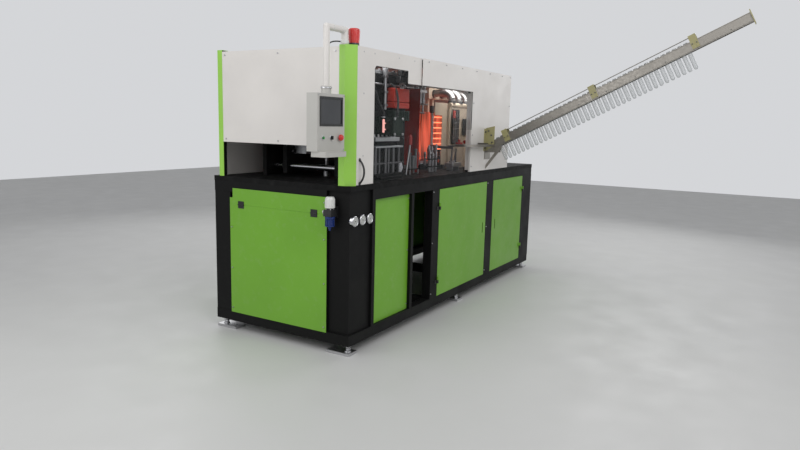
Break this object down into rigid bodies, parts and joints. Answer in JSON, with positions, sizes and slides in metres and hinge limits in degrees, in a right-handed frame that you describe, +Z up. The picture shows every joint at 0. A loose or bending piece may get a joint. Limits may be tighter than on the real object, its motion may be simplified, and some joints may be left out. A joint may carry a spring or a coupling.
{
  "type": "stretch blow moulding machine",
  "caption": "Linear stretch blow moulding machine with clamp, moulds, infrared oven, sloping infeed chute, guarding and pendant",
  "frame": {"origin": "on the floor, at the centre of the four anchor holes in the foot plates", "axes": "+X along the front towards the oven end, +Y from the front to the rear, +Z up"},
  "size_m": [4.1063, 3.6159, 2.6686],
  "materials": {
    "frame_black": "satin",
    "lime_paint": "satin",
    "white_paint": "satin",
    "table_black": "satin",
    "clear_sheet": "gloss",
    "handle_black": "satin",
    "steel": "brushed",
    "chrome": "polished",
    "cast_black": "painted",
    "machined_alu": "machined",
    "dark_green": "satin",
    "foot_steel": "zinc",
    "gauge": "bright",
    "filter_black": "satin",
    "bowl_blue": "gloss",
    "knob_white": "satin",
    "beacon_red": "gloss",
    "shield_red": "satin",
    "cream_paint": "satin",
    "reflector": "polished",
    "lamp": "glowing",
    "chute_alu": "satin",
    "zinc_olive": "passivated",
    "pet": "clear",
    "arm_red": "satin",
    "tool_black": "satin",
    "pendant_grey": "satin",
    "stop_red": "gloss",
    "button_green": "gloss",
    "switch_black": "satin"
  },
  "bodies": {
    "machine": {"levelling_feet": "foot_steel", "base_long_rails": "frame_black", "base_cross_rails": "frame_black", "base_posts": "frame_black", "base_panels": "lime_paint", "table_plate": "table_black", "service_column": "frame_black", "pressure_gauges": "gauge", "air_filter": "filter_black", "filter_bowl": "bowl_blue", "door_hinges": "handle_black", "green_posts": "lime_paint", "guard_long_rails": "frame_black", "guard_uprights": "frame_black", "fixed_pane": "clear_sheet", "guard_sheets": "white_paint", "beacon": "beacon_red", "oven_shield": "shield_red", "clamp_end_plates": "cast_black", "tie_bars": "chrome", "clamp_cylinders": "dark_green", "plug_cylinders": "machined_alu", "blow_guides": "chrome", "transfer_rails": "steel", "oven_bed": "cast_black", "oven_housings": "cream_paint", "oven_reflectors": "reflector", "lamp_racks": "machined_alu", "heater_lamps": "lamp", "infeed_chute": "chute_alu", "chute_brackets": "zinc_olive", "chute_preforms": "pet"},
    "base_door_a": {"base_door_a": "lime_paint"},
    "base_door_b": {"base_door_b": "lime_paint"},
    "sliding_door": {"sliding_door": "white_paint", "door_pane": "clear_sheet", "door_handle": "handle_black"},
    "front_clamp": {"front_platen": "steel", "front_mould": "machined_alu"},
    "rear_clamp": {"rear_platen": "steel", "rear_mould": "machined_alu"},
    "sync_pinion": {"sync_pinion": "steel"},
    "base_plugs": {"base_plugs": "machined_alu"},
    "nozzle_block": {"nozzle_block": "steel"},
    "stretch_carriage": {"stretch_carriage": "steel"},
    "transfer_carriage": {"transfer_carriage": "machined_alu"},
    "gripper_front": {"gripper_front": "tool_black"},
    "gripper_rear": {"gripper_rear": "tool_black"},
    "handover_arm": {"handover_arm": "arm_red"},
    "sprocket_left": {"sprocket_left": "steel"},
    "sprocket_right": {"sprocket_right": "steel"},
    "front_chain": {"front_spindles": "chrome"},
    "rear_chain": {"rear_spindles": "chrome"},
    "turnover_arm": {"turnover_arm": "tool_black"},
    "pendant_arm": {"pendant_arm": "white_paint"},
    "pendant": {"pendant": "pendant_grey"},
    "emergency_stop": {"emergency_stop": "stop_red"},
    "start_button": {"start_button": "button_green"},
    "mode_switch": {"mode_switch": "switch_black"},
    "regulator_knob": {"regulator_knob": "knob_white"}
  },
  "joints": [
    {"name": "base_door_a_hinge", "type": "hinge", "parent": "machine", "child": "base_door_a", "pos_m": [-0.511, -0.674, 0.64], "axis": [0, 0, -1], "range_deg": [0, 110]},
    {"name": "base_door_b_hinge", "type": "hinge", "parent": "machine", "child": "base_door_b", "pos_m": [1.585, -0.674, 0.64], "axis": [0, 0, 1], "range_deg": [0, 110]},
    {"name": "front_door_slide", "type": "slide", "parent": "machine", "child": "sliding_door", "axis": [1, 0, 0], "range_m": [0, 0.85]},
    {"name": "front_clamp_slide", "type": "slide", "parent": "machine", "child": "front_clamp", "axis": [0, 1, 0], "range_m": [0, 0.12]},
    {"name": "rear_clamp_slide", "type": "slide", "parent": "machine", "child": "rear_clamp", "axis": [0, -1, 0], "range_m": [0, 0.12]},
    {"name": "sync_pinion_turn", "type": "hinge", "parent": "machine", "child": "sync_pinion", "pos_m": [-0.823, 0, 1.85], "axis": [1, 0, 0], "range_deg": [-191.5, 0]},
    {"name": "plug_lower", "type": "slide", "parent": "machine", "child": "base_plugs", "axis": [0, 0, -1], "range_m": [0, 0.07]},
    {"name": "nozzle_lift", "type": "slide", "parent": "machine", "child": "nozzle_block", "axis": [0, 0, 1], "range_m": [0, 0.03]},
    {"name": "stretch_lift", "type": "slide", "parent": "machine", "child": "stretch_carriage", "axis": [0, 0, 1], "range_m": [0, 0.33]},
    {"name": "transfer_slide", "type": "slide", "parent": "machine", "child": "transfer_carriage", "axis": [-1, 0, 0], "range_m": [0, 0.66]},
    {"name": "gripper_front_open", "type": "slide", "parent": "transfer_carriage", "child": "gripper_front", "axis": [0, -1, 0], "range_m": [0, 0.02]},
    {"name": "gripper_rear_open", "type": "slide", "parent": "transfer_carriage", "child": "gripper_rear", "axis": [0, 1, 0], "range_m": [0, 0.02]},
    {"name": "handover_swing", "type": "hinge", "parent": "machine", "child": "handover_arm", "pos_m": [-0.21452, 0.15, 1.43], "axis": [0, 0, 1], "range_deg": [-102.1, 0]},
    {"name": "sprocket_left_turn", "type": "hinge", "parent": "machine", "child": "sprocket_left", "pos_m": [0.165, 0, 1.3], "axis": [0, 0, 1], "range_deg": [0, 22.5]},
    {"name": "sprocket_right_turn", "type": "hinge", "parent": "machine", "child": "sprocket_right", "pos_m": [0.7746, 0, 1.3], "axis": [0, 0, 1], "range_deg": [0, 22.5]},
    {"name": "front_chain_slide", "type": "slide", "parent": "machine", "child": "front_chain", "axis": [1, 0, 0], "range_m": [0, 0.0763]},
    {"name": "rear_chain_slide", "type": "slide", "parent": "machine", "child": "rear_chain", "axis": [-1, 0, 0], "range_m": [0, 0.0763]},
    {"name": "turnover_swing", "type": "hinge", "parent": "machine", "child": "turnover_arm", "pos_m": [0.02779, -0.3261, 1.465], "axis": [-1, 0, 0], "range_deg": [0, 180]},
    {"name": "pendant_arm_swing", "type": "hinge", "parent": "machine", "child": "pendant_arm", "pos_m": [-1.862, -0.585, 2.3], "axis": [0, 0, 1], "range_deg": [0, 60]},
    {"name": "pendant_swivel", "type": "hinge", "parent": "pendant_arm", "child": "pendant", "pos_m": [-2.06825, -0.585, 1.88], "axis": [0, 0, 1], "range_deg": [-45, 45]},
    {"name": "emergency_stop_press", "type": "slide", "parent": "pendant", "child": "emergency_stop", "axis": [0, 1, 0], "range_m": [0, 0.004]},
    {"name": "start_button_press", "type": "slide", "parent": "pendant", "child": "start_button", "axis": [0, 1, 0], "range_m": [0, 0.004], "stiffness_N_per_m": 400},
    {"name": "mode_switch_turn", "type": "hinge", "parent": "pendant", "child": "mode_switch", "pos_m": [-2.06825, -0.63, 1.59], "axis": [0, 1, 0], "range_deg": [-45, 45]},
    {"name": "regulator_knob_turn", "type": "hinge", "parent": "machine", "child": "regulator_knob", "pos_m": [-1.923, -0.515, 1.12], "axis": [0, 0, 1], "range_deg": [-180, 180]}
  ],
  "couplings": [
    {"joint": "rear_clamp_slide", "follows": "front_clamp_slide", "ratio": 1},
    {"joint": "sync_pinion_turn", "follows": "front_clamp_slide", "rad_per_m": -27.778},
    {"joint": "gripper_rear_open", "follows": "gripper_front_open", "ratio": 1},
    {"joint": "sprocket_right_turn", "follows": "sprocket_left_turn", "ratio": 1},
    {"joint": "front_chain_slide", "follows": "sprocket_left_turn", "m_per_rad": 0.19404},
    {"joint": "rear_chain_slide", "follows": "sprocket_left_turn", "m_per_rad": 0.19404}
  ]
}
